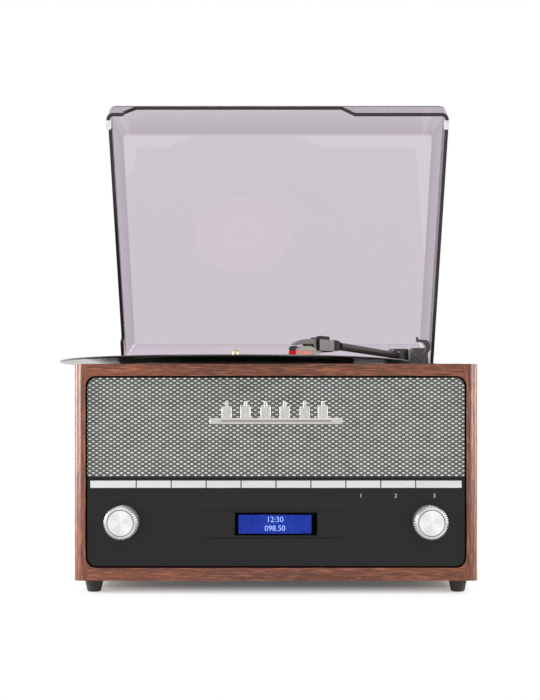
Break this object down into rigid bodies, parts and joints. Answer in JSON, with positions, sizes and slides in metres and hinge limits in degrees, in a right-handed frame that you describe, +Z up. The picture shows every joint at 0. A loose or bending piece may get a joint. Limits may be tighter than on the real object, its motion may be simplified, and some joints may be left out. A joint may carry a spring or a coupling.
{
  "type": "stereo music centre",
  "caption": "Tabletop music centre: a wooden cabinet with a radio display, row of buttons, knobs and woven grille, and a record deck with a tonearm under a hinged clear lid.",
  "frame": {"origin": "centre of the cabinet's underside, 10 mm above the surface that the feet stand on", "axes": "+X to the right seen from the front, +Y to the back, +Z up"},
  "size_m": [0.3419, 0.3116, 0.4121],
  "materials": {
    "wood_vinyl": "satin",
    "board_brown": "matte",
    "back_board": "matte",
    "black_rubber": "matte",
    "steel_screw": "satin",
    "fascia_black": "satin",
    "grille_weave": "woven",
    "badge_metal": "polished",
    "display_window": "glossy",
    "display_unit": "glossy",
    "button_white": "satin",
    "circuit_board": "satin",
    "knob_silver": "spun",
    "shaft_steel": "satin",
    "speaker_steel": "satin",
    "speaker_paper": "matte",
    "socket_black": "satin",
    "deck_black": "satin",
    "bearing_brass": "satin",
    "motor_case": "satin",
    "record_black": "glossy",
    "label_pink": "satin",
    "arm_dark": "satin",
    "arm_grey": "satin",
    "cartridge_pink": "glossy",
    "stylus_red": "glossy",
    "lid_smoke": "clear smoked",
    "bumper_clear": "translucent",
    "hinge_black": "satin"
  },
  "bodies": {
    "cabinet": {"arm_base": "arm_dark", "arm_rest": "arm_dark", "back_panel": "back_board", "badge": "badge_metal", "bottom_panel": "board_brown", "button_board": "circuit_board", "deck_plate": "deck_black", "display_lens": "display_window", "display_module": "display_unit", "drive_belt": "black_rubber", "feet": "black_rubber", "foot_screws": "steel_screw", "front_fascia": "fascia_black", "front_frame": "wood_vinyl", "grille_cloth": "grille_weave", "left_side_panel": "wood_vinyl", "left_speaker_basket": "speaker_steel", "left_speaker_cone": "speaker_paper", "lid_hinge_bases": "shaft_steel", "main_board": "circuit_board", "motor": "motor_case", "rear_sockets": "socket_black", "right_side_panel": "wood_vinyl", "right_speaker_basket": "speaker_steel", "right_speaker_cone": "speaker_paper", "socket_plate": "socket_black", "speaker_baffle": "board_brown", "spindle_bearing": "bearing_brass", "top_panel": "wood_vinyl"},
    "record_platter": {"platter": "deck_black", "platter_mat": "black_rubber", "spindle": "shaft_steel", "record": "record_black", "record_label": "label_pink"},
    "pulley": {"motor_pulley": "bearing_brass"},
    "tonearm_yoke": {"arm_yoke": "arm_dark"},
    "tonearm": {"arm_tube": "arm_dark", "headshell": "arm_grey", "cartridge": "cartridge_pink", "stylus": "stylus_red"},
    "cue_lever": {"cue_lever": "arm_dark"},
    "cue_lifter": {"cue_lifter": "arm_dark"},
    "speed_switch": {"speed_switch": "arm_dark"},
    "lid": {"lid": "lid_smoke", "lid_bumpers": "bumper_clear", "lid_hinge_arms": "hinge_black"},
    "volume_knob": {"volume_knob": "knob_silver", "volume_shaft": "shaft_steel"},
    "tune_shaft": {"tune_shaft": "shaft_steel"},
    "tune_knob": {"tune_knob": "knob_silver"},
    "button_1": {"button_1": "button_white"},
    "button_2": {"button_2": "button_white"},
    "button_3": {"button_3": "button_white"},
    "button_4": {"button_4": "button_white"},
    "button_5": {"button_5": "button_white"},
    "button_6": {"button_6": "button_white"},
    "button_7": {"button_7": "button_white"},
    "button_8": {"button_8": "button_white"},
    "button_9": {"button_9": "button_white"},
    "button_10": {"button_10": "button_white"}
  },
  "joints": [
    {"name": "lid_hinge", "type": "hinge", "parent": "cabinet", "child": "lid", "pos_m": [0, 0.127, 0.173], "axis": [1, 0, 0], "range_deg": [0, 60.7]},
    {"name": "platter_spin", "type": "hinge", "parent": "cabinet", "child": "record_platter", "pos_m": [-0.0354, -0.007, 0.16], "axis": [0, 0, 1], "continuous": true},
    {"name": "pulley_spin", "type": "hinge", "parent": "cabinet", "child": "pulley", "pos_m": [0.0466, 0.015, 0.16], "axis": [0, 0, 1], "continuous": true},
    {"name": "tonearm_swing", "type": "hinge", "parent": "cabinet", "child": "tonearm_yoke", "pos_m": [0.114, 0.077, 0.18], "axis": [0, 0, 1], "range_deg": [-13, 30.7]},
    {"name": "tonearm_lift", "type": "hinge", "parent": "tonearm_yoke", "child": "tonearm", "pos_m": [0.114, 0.077, 0.183], "axis": [-0.907, 0.421, 0], "range_deg": [0, 1.8]},
    {"name": "cue_lever_turn", "type": "hinge", "parent": "cabinet", "child": "cue_lever", "pos_m": [0.14, 0.066, 0.1723], "axis": [-1, 0, 0], "range_deg": [0, 45]},
    {"name": "cue_lifter_rise", "type": "slide", "parent": "cabinet", "child": "cue_lifter", "axis": [0, 0, 1], "range_m": [0, 0.0008]},
    {"name": "speed_switch_slide", "type": "slide", "parent": "cabinet", "child": "speed_switch", "axis": [1, 0, 0], "range_m": [-0.007, 0.007]},
    {"name": "volume_turn", "type": "hinge", "parent": "cabinet", "child": "volume_knob", "pos_m": [-0.118, -0.14, 0.046], "axis": [0, -1, 0], "continuous": true},
    {"name": "tune_push", "type": "slide", "parent": "cabinet", "child": "tune_shaft", "axis": [0, 1, 0], "range_m": [0, 0.0008], "stiffness_N_per_m": 600},
    {"name": "tune_turn", "type": "hinge", "parent": "tune_shaft", "child": "tune_knob", "pos_m": [0.118, -0.14, 0.046], "axis": [0, -1, 0], "continuous": true},
    {"name": "button_1_press", "type": "slide", "parent": "cabinet", "child": "button_1", "axis": [0, 1, 0], "range_m": [0, 0.0012], "stiffness_N_per_m": 500},
    {"name": "button_2_press", "type": "slide", "parent": "cabinet", "child": "button_2", "axis": [0, 1, 0], "range_m": [0, 0.0012], "stiffness_N_per_m": 500},
    {"name": "button_3_press", "type": "slide", "parent": "cabinet", "child": "button_3", "axis": [0, 1, 0], "range_m": [0, 0.0012], "stiffness_N_per_m": 500},
    {"name": "button_4_press", "type": "slide", "parent": "cabinet", "child": "button_4", "axis": [0, 1, 0], "range_m": [0, 0.0012], "stiffness_N_per_m": 500},
    {"name": "button_5_press", "type": "slide", "parent": "cabinet", "child": "button_5", "axis": [0, 1, 0], "range_m": [0, 0.0012], "stiffness_N_per_m": 500},
    {"name": "button_6_press", "type": "slide", "parent": "cabinet", "child": "button_6", "axis": [0, 1, 0], "range_m": [0, 0.0012], "stiffness_N_per_m": 500},
    {"name": "button_7_press", "type": "slide", "parent": "cabinet", "child": "button_7", "axis": [0, 1, 0], "range_m": [0, 0.0012], "stiffness_N_per_m": 500},
    {"name": "button_8_press", "type": "slide", "parent": "cabinet", "child": "button_8", "axis": [0, 1, 0], "range_m": [0, 0.0012], "stiffness_N_per_m": 500},
    {"name": "button_9_press", "type": "slide", "parent": "cabinet", "child": "button_9", "axis": [0, 1, 0], "range_m": [0, 0.0012], "stiffness_N_per_m": 500},
    {"name": "button_10_press", "type": "slide", "parent": "cabinet", "child": "button_10", "axis": [0, 1, 0], "range_m": [0, 0.0012], "stiffness_N_per_m": 500}
  ],
  "couplings": [
    {"joint": "pulley_spin", "follows": "platter_spin", "ratio": 11},
    {"joint": "cue_lifter_rise", "follows": "cue_lever_turn", "m_per_rad": 0.0010084},
    {"joint": "tonearm_lift", "follows": "cue_lever_turn", "ratio": 0.0399}
  ]
}
